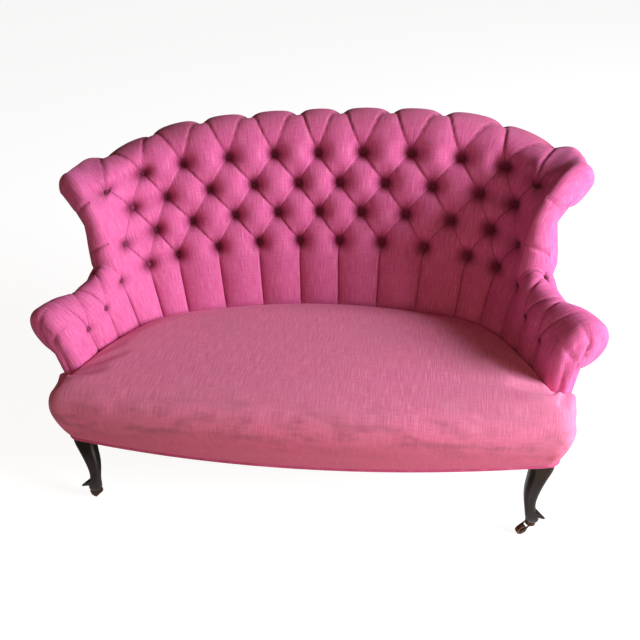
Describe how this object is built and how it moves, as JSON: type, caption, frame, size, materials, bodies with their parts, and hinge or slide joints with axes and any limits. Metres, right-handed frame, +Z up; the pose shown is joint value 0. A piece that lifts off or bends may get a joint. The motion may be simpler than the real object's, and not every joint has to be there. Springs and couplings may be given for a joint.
{
  "type": "settee",
  "caption": "Deep-buttoned scroll-back settee with bow-fronted sprung seat, flared arms, cabriole front legs on swivelling casters and raked rear legs.",
  "frame": {"origin": "on the floor under the middle of the settee", "axes": "+X along the settee to the right as it faces the viewer, -Y towards the front, +Z up"},
  "size_m": [1.6206, 0.922, 0.924],
  "materials": {
    "cover": "slubbed rose linen weave, matt",
    "button_cover": "the same weave over a domed mould",
    "trim": "double piping in the cover cloth",
    "ebonised": "ebonised beech, satin, worn",
    "beech": "plain sawn beech",
    "jute": "woven jute webbing",
    "hessian": "open hessian",
    "dust_cloth": "black bottoming cloth",
    "spring_steel": "copper-washed spring wire, dulled",
    "bronze": "darkened cast brass",
    "steel": "plain steel",
    "wheel": "turned hardwood wheel, dark"
  },
  "bodies": {
    "settee": {"back_buttons": "button_cover", "back_hessian": "hessian", "back_pad": "cover", "back_trim": "trim", "back_upright_1": "beech", "back_upright_2": "beech", "back_upright_3": "beech", "back_upright_4": "beech", "back_webbing": "jute", "dust_cover": "dust_cloth", "left_arm_buttons": "button_cover", "left_arm_front": "cover", "left_arm_pad": "cover", "left_arm_post": "beech", "left_arm_rail": "beech", "left_arm_trim": "trim", "left_caster_cup": "bronze", "left_front_leg": "ebonised", "left_outside_arm": "cover", "left_rear_glide": "steel", "left_rear_leg": "ebonised", "left_seat_side_rail": "beech", "left_wing_post": "beech", "outside_back": "cover", "rear_leg_dowels": "beech", "right_arm_buttons": "button_cover", "right_arm_front": "cover", "right_arm_pad": "cover", "right_arm_post": "beech", "right_arm_rail": "beech", "right_arm_trim": "trim", "right_caster_cup": "bronze", "right_front_leg": "ebonised", "right_outside_arm": "cover", "right_rear_glide": "steel", "right_rear_leg": "ebonised", "right_seat_side_rail": "beech", "right_wing_post": "beech", "seat_back_rail": "beech", "seat_cushion": "cover", "seat_front_rail": "beech", "seat_hessian": "hessian", "seat_springs": "spring_steel", "seat_trim": "trim", "seat_webbing_cross": "jute", "seat_webbing_long": "jute", "top_rail": "beech"},
    "right_caster": {"right_caster_fork": "bronze", "right_caster_axle": "steel"},
    "right_wheel": {"right_caster_wheel": "wheel"},
    "left_caster": {"left_caster_fork": "bronze", "left_caster_axle": "steel"},
    "left_wheel": {"left_caster_wheel": "wheel"}
  },
  "joints": [
    {"name": "right_caster_swivel", "type": "hinge", "parent": "settee", "child": "right_caster", "pos_m": [0.638, -0.414, 0.0335], "axis": [0, 0, 1], "continuous": true},
    {"name": "right_wheel_spin", "type": "hinge", "parent": "right_caster", "child": "right_wheel", "pos_m": [0.61499, -0.42377, 0.015], "axis": [-0.3907, 0.9205, 0], "continuous": true},
    {"name": "left_caster_swivel", "type": "hinge", "parent": "settee", "child": "left_caster", "pos_m": [-0.638, -0.414, 0.0335], "axis": [0, 0, 1], "continuous": true},
    {"name": "left_wheel_spin", "type": "hinge", "parent": "left_caster", "child": "left_wheel", "pos_m": [-0.66118, -0.40463, 0.015], "axis": [0.3746, 0.9272, 0], "continuous": true}
  ]
}
